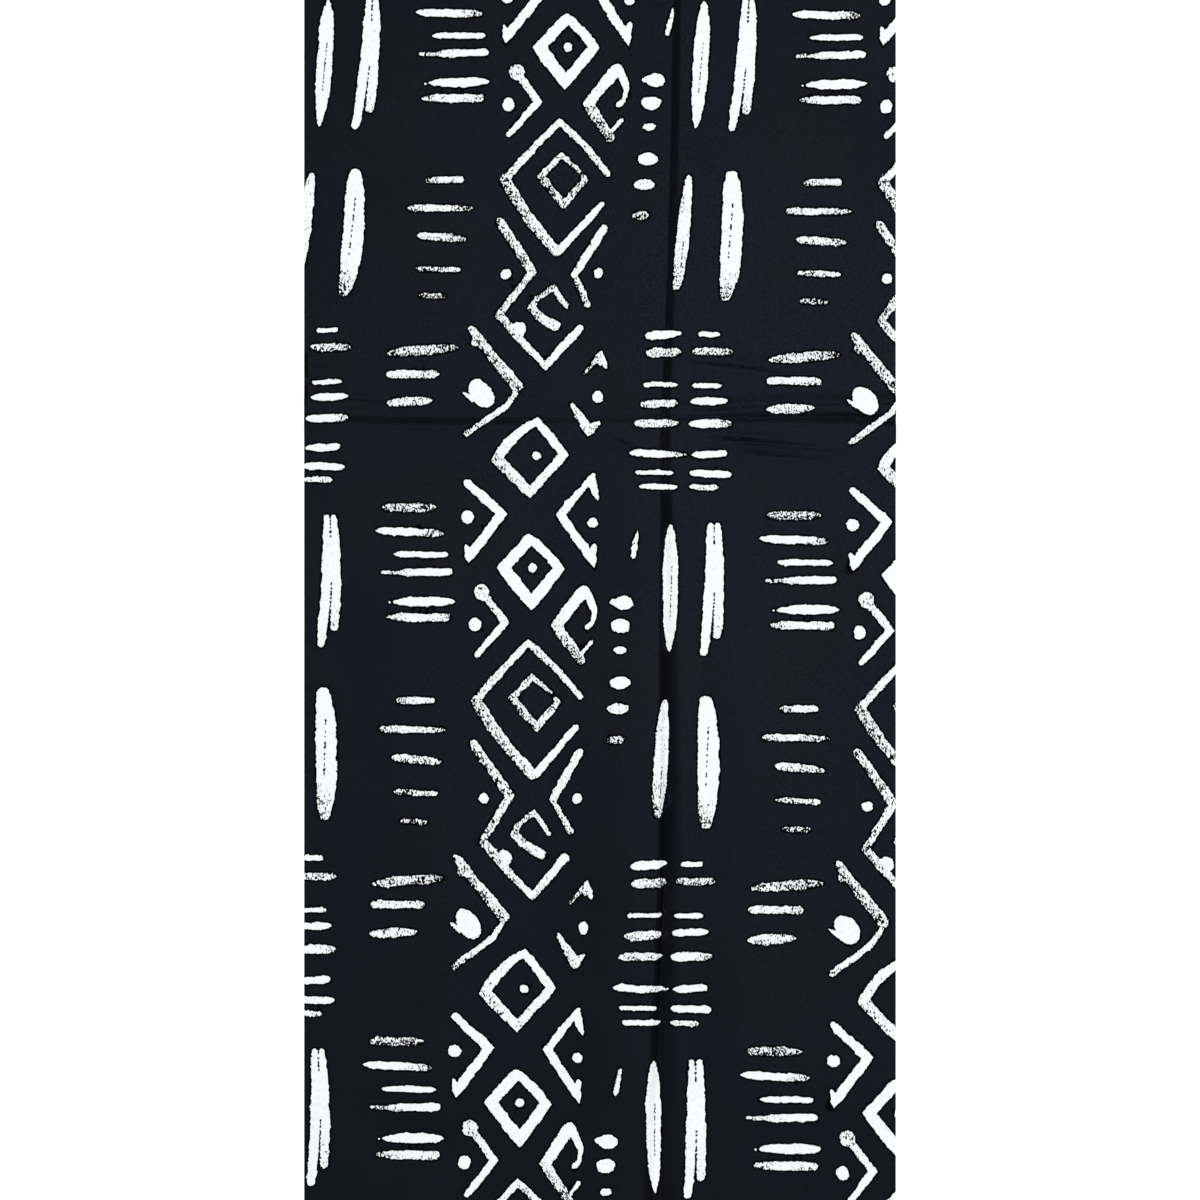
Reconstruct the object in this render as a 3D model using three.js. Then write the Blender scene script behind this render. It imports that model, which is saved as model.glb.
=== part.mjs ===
// A cut length of wax-printed cotton, lying flat with the creases of a cloth that was kept folded.
//
// The cloth is one closed sheet in millimetres: x runs across it, y along it and z up from the
// surface that it lies on. Open cloth touches that surface. The sheet lifts only along two creases,
// whose shoulders stand up on both sides of a sharp valley, and in a few low swells.

import * as THREE from "three";

// Driving dimensions
const CLOTH_WIDTH = 408;
const CLOTH_LENGTH = 832;
const CLOTH_THICKNESS = 1.2;
const GROUND_COLOUR = 0x1a1b23;

const HALF_WIDTH = CLOTH_WIDTH / 2;
const HALF_LENGTH = CLOTH_LENGTH / 2;

// The lengthwise crease, from the lower end up. Its valley runs at (y, x), and its shoulders rise
// beside it. Before and after are the distances of the shoulders on its lower and its higher side,
// and beforeFoot and afterFoot those of the places where the cloth is back on the surface.
const LENGTHWISE_CREASE = [
  { y: -416, x: 37.5, rise: 3.6, before: 10.0, after: 22.0, beforeFoot: 92, afterFoot: 70 },
  { y: -360, x: 38.5, rise: 3.9, before: 8.0, after: 20.0, beforeFoot: 92, afterFoot: 68 },
  { y: -300, x: 40.5, rise: 4.0, before: 6.5, after: 17.0, beforeFoot: 92, afterFoot: 66 },
  { y: -180, x: 44.5, rise: 4.0, before: 5.5, after: 14.0, beforeFoot: 92, afterFoot: 64 },
  { y: -100, x: 45.0, rise: 3.7, before: 5.5, after: 12.0, beforeFoot: 88, afterFoot: 62 },
  { y: -30, x: 44.6, rise: 3.2, before: 5.0, after: 10.0, beforeFoot: 82, afterFoot: 58 },
  { y: 50, x: 45.2, rise: 2.3, before: 5.0, after: 6.6, beforeFoot: 76, afterFoot: 54 },
  { y: 120, x: 44.6, rise: 1.8, before: 4.0, after: 5.0, beforeFoot: 70, afterFoot: 50 },
  { y: 180, x: 46.9, rise: 1.5, before: 3.6, after: 4.8, beforeFoot: 68, afterFoot: 48 },
  { y: 250, x: 49.4, rise: 1.4, before: 3.4, after: 4.8, beforeFoot: 66, afterFoot: 46 },
  { y: 416, x: 52.8, rise: 1.3, before: 3.4, after: 4.8, beforeFoot: 64, afterFoot: 44 },
];

// The crosswise crease, from the left edge to the right, in the same terms.
const CROSSWISE_CREASE = [
  { x: -204, y: 126.5, rise: 0.7, before: 4.0, after: 4.0, beforeFoot: 26, afterFoot: 20 },
  { x: -140, y: 124.0, rise: 1.1, before: 4.4, after: 4.4, beforeFoot: 28, afterFoot: 20 },
  { x: -85, y: 123.5, rise: 1.1, before: 4.2, after: 4.2, beforeFoot: 26, afterFoot: 18 },
  { x: -30, y: 124.0, rise: 0.7, before: 4.0, after: 4.0, beforeFoot: 24, afterFoot: 16 },
  { x: 60, y: 125.5, rise: 0.8, before: 4.0, after: 4.0, beforeFoot: 24, afterFoot: 16 },
  { x: 125, y: 126.0, rise: 1.4, before: 5.0, after: 4.6, beforeFoot: 30, afterFoot: 18 },
  { x: 165, y: 126.0, rise: 1.9, before: 6.0, after: 5.0, beforeFoot: 34, afterFoot: 20 },
  { x: 204, y: 124.5, rise: 2.3, before: 6.5, after: 5.4, beforeFoot: 36, afterFoot: 22 },
];

// Low swells of the open cloth: centre (x, y), half sizes across and along, turn in degrees, rise.
const SWELLS = [
  { x: 26, y: -230, across: 54, along: 190, turn: -2, rise: 2.2 },
  { x: 138, y: 28, across: 55, along: 75, turn: 8, rise: 1.2 },
  { x: 136, y: 318, across: 62, along: 66, turn: -12, rise: 1.4 },
  { x: -118, y: 276, across: 70, along: 46, turn: 10, rise: 1.2 },
  { x: -138, y: -30, across: 48, along: 92, turn: -6, rise: 1.0 },
  { x: -122, y: -336, across: 58, along: 50, turn: 14, rise: 1.2 },
  { x: 124, y: -330, across: 56, along: 60, turn: -10, rise: 1.3 },
];

// Mesh lines between the parts of a crease and the cloth's edges
const SLOPE_STEPS = 3;
const FALL_STEPS = 5;
const OPEN_STEP = 20;

// Rounds that settle where a curved column line meets a curved row line
const CROSSING_ROUNDS = 4;

// A smooth value from a table's column, at a place along its key column.
function tableValue(table, key, column, place) {
  const last = table.length - 1;
  let row = 0;
  while (row < last - 1 && place > table[row + 1][key]) {
    row += 1;
  }
  const slope = (index) => {
    const before = table[Math.max(index - 1, 0)];
    const after = table[Math.min(index + 1, last)];
    return (after[column] - before[column]) / (after[key] - before[key]);
  };
  const start = table[row];
  const end = table[row + 1];
  const span = end[key] - start[key];
  const t = THREE.MathUtils.clamp((place - start[key]) / span, 0, 1);
  const eased = t * t * (3 - 2 * t);
  const leave = t * (1 - t) * (1 - t) * span * slope(row);
  const arrive = t * t * (t - 1) * span * slope(row + 1);
  return start[column] + eased * (end[column] - start[column]) + leave + arrive;
}

// The crease's sizes at a place along it.
function creaseAt(table, key, across, place) {
  return {
    line: tableValue(table, key, across, place),
    rise: tableValue(table, key, "rise", place),
    before: tableValue(table, key, "before", place),
    after: tableValue(table, key, "after", place),
    beforeFoot: tableValue(table, key, "beforeFoot", place),
    afterFoot: tableValue(table, key, "afterFoot", place),
  };
}

// Height of a crease at a distance from its valley: up to the shoulder, then back to the open cloth.
function creaseHeight(crease, distance) {
  const away = Math.abs(distance);
  const shoulder = distance < 0 ? crease.before : crease.after;
  const foot = distance < 0 ? crease.beforeFoot : crease.afterFoot;
  if (away < shoulder) {
    return crease.rise * Math.sin((Math.PI / 2) * (away / shoulder));
  }
  const down = Math.min((away - shoulder) / (foot - shoulder), 1);
  return (crease.rise / 2) * (1 + Math.cos(Math.PI * down));
}

function swellHeight(swell, x, y) {
  const turn = THREE.MathUtils.degToRad(swell.turn);
  const dx = x - swell.x;
  const dy = y - swell.y;
  const across = (dx * Math.cos(turn) + dy * Math.sin(turn)) / swell.across;
  const along = (dy * Math.cos(turn) - dx * Math.sin(turn)) / swell.along;
  const away = Math.min(Math.hypot(across, along), 1);
  return (swell.rise / 2) * (1 + Math.cos(Math.PI * away));
}

// Height of the cloth's underside above the surface.
function clothHeight(x, y) {
  const lengthwise = creaseAt(LENGTHWISE_CREASE, "y", "x", y);
  const crosswise = creaseAt(CROSSWISE_CREASE, "x", "y", x);
  let height = creaseHeight(lengthwise, x - lengthwise.line);
  height += creaseHeight(crosswise, y - crosswise.line);
  for (const swell of SWELLS) {
    height += swellHeight(swell, x, y);
  }
  return height;
}

// Mesh lines from one edge of the cloth to the other, as bands: each has a number of steps and ends
// at the crease's feet, shoulders or valley, or at the far edge.
function creaseBands(table, key, across, halfSpan) {
  const middle = creaseAt(table, key, across, 0);
  const openBefore = Math.round((middle.line - middle.beforeFoot + halfSpan) / OPEN_STEP);
  const openAfter = Math.round((halfSpan - middle.line - middle.afterFoot) / OPEN_STEP);
  return [
    { steps: openBefore, end: (crease) => crease.line - crease.beforeFoot },
    { steps: FALL_STEPS, end: (crease) => crease.line - crease.before },
    { steps: SLOPE_STEPS, end: (crease) => crease.line },
    { steps: SLOPE_STEPS, end: (crease) => crease.line + crease.after },
    { steps: FALL_STEPS, end: (crease) => crease.line + crease.afterFoot },
    { steps: openAfter, end: () => halfSpan },
  ];
}

// Place of one mesh line, counted from the first edge, beside the crease's sizes at hand.
function bandPlace(bands, crease, halfSpan, index) {
  let start = -halfSpan;
  let left = index;
  for (const band of bands) {
    const end = band.end(crease);
    if (left <= band.steps) {
      return THREE.MathUtils.lerp(start, end, left / band.steps);
    }
    left -= band.steps;
    start = end;
  }
  return halfSpan;
}

function countSteps(bands) {
  return bands.reduce((total, band) => total + band.steps, 0);
}

// The sheet starts as a flat slab of cells, whose corners move to the crease lines and then lift.
function clothGeometry() {
  const columnBands = creaseBands(LENGTHWISE_CREASE, "y", "x", HALF_WIDTH);
  const rowBands = creaseBands(CROSSWISE_CREASE, "x", "y", HALF_LENGTH);
  const columns = countSteps(columnBands);
  const rows = countSteps(rowBands);
  const geometry = new THREE.BoxGeometry(CLOTH_WIDTH, CLOTH_LENGTH, CLOTH_THICKNESS, columns, rows, 1);
  const corners = geometry.getAttribute("position");
  for (let index = 0; index < corners.count; index += 1) {
    const column = Math.round((corners.getX(index) / CLOTH_WIDTH + 0.5) * columns);
    const row = Math.round((corners.getY(index) / CLOTH_LENGTH + 0.5) * rows);
    let x = corners.getX(index);
    let y = corners.getY(index);
    for (let round = 0; round < CROSSING_ROUNDS; round += 1) {
      x = bandPlace(columnBands, creaseAt(LENGTHWISE_CREASE, "y", "x", y), HALF_WIDTH, column);
      y = bandPlace(rowBands, creaseAt(CROSSWISE_CREASE, "x", "y", x), HALF_LENGTH, row);
    }
    const layer = corners.getZ(index) > 0 ? CLOTH_THICKNESS : 0;
    corners.setXYZ(index, x, y, clothHeight(x, y) + layer);
  }
  geometry.computeVertexNormals();
  return geometry;
}

const printedCotton = new THREE.MeshStandardMaterial({
  color: GROUND_COLOUR,
  roughness: 0.9,
  metalness: 0,
});

const fabric = new THREE.Group();
const cloth = new THREE.Mesh(clothGeometry(), printedCotton);
cloth.name = "cloth";
fabric.add(cloth);

export default fabric;
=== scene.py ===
# A cut length of wax-printed cotton, lying flat with the creases of a cloth that was kept folded.
#
# Lengths are in millimetres until the mesh is made, in the frame of the solids: x runs across the
# cloth, y along it and z up. The print is charted in its own repeat, where "across" runs to the
# right and "down" runs down the cloth, and is then laid on the cloth with its slight pull and lean.

import math
from collections import namedtuple

import bpy
import numpy as np
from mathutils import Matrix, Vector
from mathutils.geometry import delaunay_2d_cdt


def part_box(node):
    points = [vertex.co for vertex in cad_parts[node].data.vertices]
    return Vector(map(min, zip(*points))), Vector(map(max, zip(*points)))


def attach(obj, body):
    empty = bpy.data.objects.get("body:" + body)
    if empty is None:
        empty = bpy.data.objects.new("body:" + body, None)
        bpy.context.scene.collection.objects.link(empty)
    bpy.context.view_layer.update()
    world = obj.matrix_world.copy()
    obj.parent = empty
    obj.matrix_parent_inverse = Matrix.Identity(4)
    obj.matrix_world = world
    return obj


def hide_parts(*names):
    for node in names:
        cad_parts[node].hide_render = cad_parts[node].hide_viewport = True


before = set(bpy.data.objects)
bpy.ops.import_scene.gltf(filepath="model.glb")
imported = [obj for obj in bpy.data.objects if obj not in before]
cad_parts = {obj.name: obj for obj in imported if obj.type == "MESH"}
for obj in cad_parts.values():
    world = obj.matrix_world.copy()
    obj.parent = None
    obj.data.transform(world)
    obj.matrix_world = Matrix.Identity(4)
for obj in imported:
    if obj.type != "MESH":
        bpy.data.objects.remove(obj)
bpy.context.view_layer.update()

MM = 0.001

# Sizes of the cloth
cloth_low, cloth_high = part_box("cloth")
CLOTH_WIDTH = (cloth_high.x - cloth_low.x) / MM
CLOTH_LENGTH = (cloth_high.y - cloth_low.y) / MM
HALF_WIDTH = CLOTH_WIDTH / 2
HALF_LENGTH = CLOTH_LENGTH / 2
CLOTH_THICKNESS = 0.5

# Folds: the two main creases and the swells are those of the solid. A crease has a valley, at a
# place beside its key. Before and after it, toward the lower and the higher coordinate, the cloth
# rises to a shoulder and comes back to the open cloth at a foot, each at its distance.
Crease = namedtuple("Crease", "key place rise before after before_foot after_foot")

# From the lower end up: key is y and place is x.
LENGTHWISE_CREASE = [Crease(*row) for row in (
    (-416, 37.5, 3.6, 10, 22, 92, 70),
    (-360, 38.5, 3.9, 8, 20, 92, 68),
    (-300, 40.5, 4, 6.5, 17, 92, 66),
    (-180, 44.5, 4, 5.5, 14, 92, 64),
    (-100, 45, 3.7, 5.5, 12, 88, 62),
    (-30, 44.6, 3.2, 5, 10, 82, 58),
    (50, 45.2, 2.3, 5, 6.6, 76, 54),
    (120, 44.6, 1.8, 4, 5, 70, 50),
    (180, 46.9, 1.5, 3.6, 4.8, 68, 48),
    (250, 49.4, 1.4, 3.4, 4.8, 66, 46),
    (416, 52.8, 1.3, 3.4, 4.8, 64, 44),
)]

# From the left edge to the right: key is x and place is y.
CROSSWISE_CREASE = [Crease(*row) for row in (
    (-204, 126.5, 0.7, 4, 4, 26, 20),
    (-140, 124, 1.1, 4.4, 4.4, 28, 20),
    (-85, 123.5, 1.1, 4.2, 4.2, 26, 18),
    (-30, 124, 0.7, 4, 4, 24, 16),
    (60, 125.5, 0.8, 4, 4, 24, 16),
    (125, 126, 1.4, 5, 4.6, 30, 18),
    (165, 126, 1.9, 6, 5, 34, 20),
    (204, 124.5, 2.3, 6.5, 5.4, 36, 22),
)]

# Short wrinkles beside the crosswise crease, each from left to right, dying out into the cloth: key is
# x and place is y. All have the same shoulder and foot.
Wrinkle = namedtuple("Wrinkle", "key place rise")
WRINKLE_SHOULDER = 2.2
WRINKLE_FOOT = 10.0
WRINKLES = [[Wrinkle(*row) for row in rows] for rows in (
    ((72, 111.2, 0), (95, 110.8, 0.9), (125, 108.4, 0.7), (162, 104.6, 0)),
    ((90, 106.8, 0), (112, 106.4, 0.6), (140, 103.5, 0.5), (172, 101, 0)),
    ((95, 100, 0), (130, 98, 0.3), (160, 95.5, 0)),
    ((50, 131.6, 0), (78, 131.4, 0.5), (110, 134.4, 0.3), (204, 136, 0.2)),
    ((48, 165.6, 0), (84, 162.4, 0.6), (116, 158.6, 0.5), (150, 153, 0)),
    ((-204, 162, 0.25), (-170, 160, 0.2), (-138, 157, 0)),
    ((-204, 141.5, 0.2), (-145, 137.4, 0.35), (-100, 138, 0)),
    ((0, 114, 0), (22, 106, 0.6), (45, 97, 0.3), (62, 96.6, 0)),
)]

# Low swells of the open cloth: centre, half sizes across and along, turn in degrees, and rise
Swell = namedtuple("Swell", "x y across along turn rise")
SWELLS = [Swell(*row) for row in (
    (26, -230, 54, 190, -2, 2.2),
    (138, 28, 55, 75, 8, 1.2),
    (136, 318, 62, 66, -12, 1.4),
    (-118, 276, 70, 46, 10, 1.2),
    (-138, -30, 48, 92, -6, 1),
    (-122, -336, 58, 50, 14, 1.2),
    (124, -330, 56, 60, -10, 1.3),
)]

# The print: one repeat, charted from the dot in the thick lozenge. A limb is a brush stroke from
# one place to another. Its start and end are the lengths of its tips, and 0 is a blunt end, which
# makes a sharp corner with another limb's blunt end at the same place. Bow swings the middle aside.
# Dry is 0 for full paint and 1 for a bare scuff.
Limb = namedtuple("Limb", "across down to_across to_down wide to_wide bow start end dry to_dry")
Tall = namedtuple("Tall", "across down to_across to_down wide to_wide belly full bow start end "
                          "dry to_dry")
Dash = namedtuple("Dash", "across down length wide lean left right dry_left dry dry_right")
Dot = namedtuple("Dot", "across down wide tall turn dry")
Slit = namedtuple("Slit", "across down to_across to_down wide spots")

LOZENGE_CHAIN = [Limb(*row) for row in (
    # Thick lozenge
    (-20, 0, 0.6, -22.4, 8.8, 8.4, 0, 0, 2.5, 0.08, 0.05),
    (0.5, -18, 18.3, 0.7, 7.2, 7.4, -1, 0, 0, 0.05, 0.05),
    (18.3, 0.7, -0.7, 24, 8.2, 8.6, 0, 0, 0, 0.04, 0.04),
    (-20, 0, -0.7, 24, 9.4, 9.2, 0, 0, 0, 0.12, 0.08),
    # Lozenge above it
    (-24.2, -75.2, 3.1, -102, 8.6, 6.2, -3, 0, 0, 0.22, 0.1),
    (3.1, -102, 21.7, -78.7, 6.4, 7, 0, 0, 0, 0.05, 0.15),
    (21.7, -78.7, -1.7, -52.4, 7, 7, 0, 0, 0, 0.1, 0.25),
    (-24.2, -75.2, -1.7, -52.4, 9, 7.6, 0, 0, 0, 0.38, 0.18),
    # Chevrons between the two lozenges, left and right
    (-47, -61, -21, -37.3, 6, 7.6, 0, 4, 0, 0.12, 0.12),
    (-21, -37.3, -43.1, -8.2, 7.4, 7.4, 0, 0, 0, 0.05, 0.02),
    (-43.1, -8.2, -46.1, -16.8, 6, 3.4, 0, 0, 4, 0.02, 0.02),
    (43.2, -66, 19.3, -36.6, 4.8, 6.8, 0, 6, 0, 0.02, 0.15),
    (19.3, -36.6, 41, -6, 7, 7.2, 0, 0, 0, 0.15, 0.02),
    (40.6, -60, 45.2, -46, 9, 3, 0, 0, 5, 0.02, 0.02),
    (41, -6, 42.4, -17.4, 6, 4.6, 0, 0, 3, 0.02, 0.02),
    # Chevrons below the thick lozenge, left and right, with the right one's tick and curl
    (-34.8, 16.6, -18.6, 37.6, 5.6, 6.4, 0, 0, 0, 0.35, 0.15),
    (-18.6, 37.6, -39.5, 61.8, 6.4, 4.6, 0, 0, 3, 0.12, 0.02),
    (34.8, 16, 16.4, 39.6, 9, 8.4, 0, 0, 0, 0.02, 0.2),
    (16.4, 39.6, 35.3, 66.5, 8.6, 6.6, 0, 0, 4, 0.3, 0.65),
    (33.5, 59.5, 41.8, 49.6, 3.6, 3.6, 0, 0, 2, 0.02, 0.02),
    (35, 15.4, 42, 29, 8, 5.4, -1, 0, 0, 0.02, 0.02),
    (42.6, 29, 40.4, 38.6, 4.8, 3.6, -0.6, 0, 0, 0.02, 0.02),
    (40, 38.8, 35.8, 42.4, 3.8, 5.6, 0, 0, 2.8, 0.02, 0.02),
    # Open lozenge with a small one inside it
    (-38.6, 91.8, -2.8, 51.8, 6.2, 5.6, -0.8, 0, 0, 0.3, 0.15),
    (-2.8, 51.8, 34.4, 90.8, 5.6, 5, -1.4, 0, 2.5, 0.35, 0.2),
    (-38.6, 91.8, 1, 142.8, 8.6, 7.6, 2.2, 0, 0, 0.48, 0.3),
    (1.6, 142.8, 31.6, 108, 6.8, 5, 0, 0, 3, 0.15, 0.05),
    (-13.8, 89.7, -0.3, 75.2, 5, 5, 0, 0, 0, 0.35, 0.25),
    (-0.3, 75.2, 14.2, 87.4, 5, 2.6, 0, 0, 2, 0.3, 0.45),
    (15, 88.4, 17.3, 92.5, 3.6, 5.4, 0, 2, 0, 0.6, 0.4),
    (-13.8, 89.7, 3.1, 110, 6, 6, 0, 0, 0, 0.55, 0.45),
    (17.3, 92.5, 3.1, 110, 5, 6, 0, 0, 0, 0.45, 0.3),
    # Zigzag below it, left, and its short right-hand partner
    (-42.2, 118.6, -15.5, 157, 6.6, 7.2, 0, 3, 0, 0.4, 0.4),
    (-15.5, 157, -34.2, 188, 6, 6, 0, 0, 0, 0.25, 0.45),
    (-34.2, 188, -19, 205, 6.4, 6.4, 0, 0, 0, 0.5, 0.3),
    (-19, 205, -0.7, 224.3, 6, 5.4, 0, 0, 0, 0.25, 0.2),
    (-0.7, 224.3, 24.4, 196, 5.8, 6.8, 0, 0, 2.6, 0.25, 0.12),
    (34, 124, 14, 159.4, 7, 6, 0, 7, 0, 0.15, 0.25),
    (14, 159.4, 27.4, 183.6, 4.2, 5.6, 0, 0, 2.4, 0.3, 0.35),
    # Curled hook inside the zigzag
    (12.8, 184.5, 1, 168.5, 4.4, 4.4, 0, 3, 0, 0.2, 0.25),
    (1, 168.5, -10, 177, 5, 4, 0, 0, 0, 0.4, 0.45),
    (-10, 177, -12.4, 183.5, 5.2, 6.2, 0, 0, 0, 0.5, 0.4),
    (-12.4, 183.5, -5, 190.5, 6.4, 6.4, 0, 0, 0, 0.35, 0.35),
    (-5, 190.5, 8.8, 198.2, 6.6, 8, 0, 0, 2, 0.25, 0.25),
    # Bird-like chevron at the head of the repeat, with the tail of its egg
    (-44.5, -167.7, -10.8, -125.8, 6.2, 9, 0, 6, 0, 0.36, 0.48),
    (-11.4, -122, -18.6, -112, 4, 5, 0, 0, 0, 0.3, 0.2),
    (-18.6, -112, -47.6, -91.8, 5, 5, 0, 0, 2, 0.12, 0.42),
    (-48.5, -122.3, -41, -117, 3, 4.5, 0, 2, 0, 0.1, 0.05),
    # Small arrow and check mark on the right
    (47, -147.4, 34.8, -134, 5.4, 2.8, 0, 0, 3, 0.3, 0.65),
    (47, -147.4, 51.2, -137, 5.4, 3.6, 0, 0, 3, 0.2, 0.2),
    (25.8, -115.2, 38.6, -95.8, 3.6, 8.6, 0, 2, 0, 0.25, 0.3),
    (38.6, -95.8, 47, -102.2, 7.6, 2.8, 0, 0, 3, 0.3, 0.3),
)]

# Belly is what a tall stroke gains in width between its ends, and full is how soon it gains it.
TALL_STROKES = [Tall(*row) for row in (
    (72.1, -26.3, 68.7, -5.6, 2.2, 4, 1.2, 2, 0, 3, 2, 0.2, 0.08),
    (94.8, -30.5, 94.1, 58.5, 3.4, 2.4, 9, 3, -0.6, 4, 4, 0.08, 0.06),
    (123.4, -31.8, 119, 61, 5, 6, 2, 3, -1.8, 2, 3, 0.1, 0.06),
    (128, -31.8, 128.2, 49.5, 5, 6.5, 2, 3, -1.4, 2, 4, 0.1, 0.32),
    (90.8, 90, 85.9, 172, 4, 5, 6, 3, 0, 3, 4, 0.2, 0.5),
    (120.6, 87.6, 121.4, 179.6, 7.2, 6.6, 8.6, 3, -2, 1.2, 2, 0.04, 0.52),
)]

# Lean is in degrees, upward to the right. Left and right are the tips, as parts of the length.
DASHES = [Dash(*row) for row in (
    # Ladder of paired dashes, each row left then right
    (90.2, -160.8, 26.6, 6.5, 4.5, 0.2, 0.45, 0.05, 0.05, 0.1),
    (122.2, -161.1, 16.2, 4.1, 0, 0.08, 0.1, 0.02, 0.02, 0.05),
    (90.5, -148.8, 25.5, 7.2, 2, 0.3, 0.3, 0.26, 0.36, 0.44),
    (124.6, -149.5, 29, 5.6, -1.5, 0.2, 0.2, 0.44, 0.4, 0.5),
    (88, -127, 25, 4, 0, 0.12, 0.15, 0.15, 0.15, 0.2),
    (120.4, -126.3, 22, 4.2, 0, 0.12, 0.15, 0.1, 0.1, 0.2),
    (87, -113.9, 27, 6.2, 3, 0.22, 0.22, 0.35, 0.3, 0.35),
    (121.5, -115.6, 27, 5.9, 1, 0.3, 0.35, 0.1, 0.1, 0.15),
    (85.2, -100.3, 31.7, 6.2, 1, 0.3, 0.35, 0.3, 0.3, 0.35),
    (122.2, -100, 31, 6.6, 0, 0.3, 0.3, 0.1, 0.1, 0.6),
    (86.3, -79.1, 41, 6.2, -2, 0.25, 0.7, 0.1, 0.1, 0.45),
    (121.5, -78.9, 25.5, 6, 3, 0.4, 0.14, 0.1, 0.1, 0.1),
    (83.8, -66, 27.6, 4, -1, 0.12, 0.15, 0.02, 0.02, 0.05),
    (122.2, -65.2, 29.7, 6, -2, 0.22, 0.16, 0.05, 0.02, 0.05),
    (86.3, -56.1, 27.6, 4.5, -1, 0.14, 0.18, 0.02, 0.02, 0.05),
    (118, -55.7, 21.4, 4.8, -1, 0.22, 0.28, 0.25, 0.25, 0.3),
    # Stack of wide dashes
    (180, -36.2, 38.6, 6.6, 0, 0.25, 0.4, 0.55, 0.48, 0.7),
    (180.2, -19.3, 48, 6.2, -2.5, 0.22, 0.2, 0.15, 0.05, 0.55),
    (188, -3.7, 38.4, 4.9, -0.5, 0.22, 0.1, 0.02, 0.02, 0.02),
    (190.8, 8.5, 38.6, 6, 1, 0.25, 0.07, 0.35, 0.08, 0.02),
    (168.6, 8.8, 12.6, 3.6, 0, 0.25, 0.2, 0.6, 0.42, 0.32),
    (190, 28.8, 43.8, 7.7, 0.5, 0.55, 0.4, 0.05, 0.1, 0.08),
    (186.2, 39.7, 45, 6.4, -0.5, 0.35, 0.07, 0.45, 0.12, 0.35),
    # Stack of dry dashes
    (184.2, 97, 27.6, 5.5, 0, 0.22, 0.1, 0.52, 0.22, 0.2),
    (182.2, 117, 47, 5.5, -1, 0.12, 0.35, 0.44, 0.14, 0.6),
    (185, 137.7, 36, 6.2, -5, 0.18, 0.4, 0.2, 0.34, 0.5),
    (184.2, 160.4, 32, 4.6, -3, 0.22, 0.12, 0.52, 0.4, 0.25),
    (183, 180, 20.5, 4.2, -3, 0.16, 0.16, 0.68, 0.64, 0.7),
    # Three dashes at the head of the repeat
    (187.8, -145.6, 51, 7.2, 4, 0.35, 0.35, 0.5, 0.38, 0.62),
    (180.4, -129.3, 39, 6.2, -1, 0.15, 0.15, 0.25, 0.2, 0.38),
    (177.3, -110.3, 34.5, 7.3, 2, 0.45, 0.5, 0.28, 0.34, 0.36),
    # Dry dab below the column of dots
    (57.4, 118.2, 12.2, 5.8, 2, 0.1, 0.1, 0.48, 0.44, 0.48),
)]

DOTS = [Dot(*row) for row in (
    # In and beside the lozenge chain
    (0, 0, 7.2, 7.2, 0, 0.02),
    (2.9, -77.9, 7, 7, 0, 0.02),
    (-44.5, -35.2, 9.7, 9.7, 0, 0.02),
    (41.1, -31.3, 8.4, 7.6, 0, 0.02),
    (-34.8, 16.8, 11.4, 12, 0, 0.3),
    (-39.3, 39.1, 9.3, 10.3, 0, 0.02),
    (-19.7, 198.7, 12, 11, 0, 0.12),
    (-33.5, 158.7, 8.3, 8.3, 0, 0.12),
    (30.7, 158.7, 7.3, 8.4, 0, 0.02),
    (-35.4, -121.2, 15.6, 22.6, -34, 0.04),
    (45, -118.6, 8, 9.3, 0, 0.1),
    (46.6, -143, 5, 6.5, 0, 0.3),
    (-39.6, -156.4, 6.4, 7, 0, 0.45),
    # Column of dots beside the chain
    (62.5, 24.2, 14.5, 10.3, 0, 0.05),
    (60.4, 40, 14.5, 10.3, 0, 0.08),
    (60, 56.6, 9.7, 5.9, 0, 0.05),
    (60.2, 79, 15, 9.7, 0, 0.05),
    (58.8, 96.8, 15.4, 8.3, 0, 0.22),
    # Droplets at the ends of dashes, and the point of the first dot of the column
    (56.6, 23.6, 8, 5.6, 0, 0.1),
    (162.4, 8.6, 4, 3.2, 0, 0.05),
    (166.6, 29.4, 2.6, 2.6, 0, 0.05),
)]

# Bare slits, where the bristles parted in a stroke, each with its number of bare spots
SLITS = [Slit(*row) for row in (
    (96, -1.4, 94.8, 34, 0.9, 13),
    (125.8, -31.8, 126.2, -15, 1.6, 6),
    (126.8, 16, 125.2, 48, 1, 13),
    (88.8, 136, 88, 156, 1, 8),
    (122.6, 108, 121.2, 150, 1.3, 11),
)]

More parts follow.
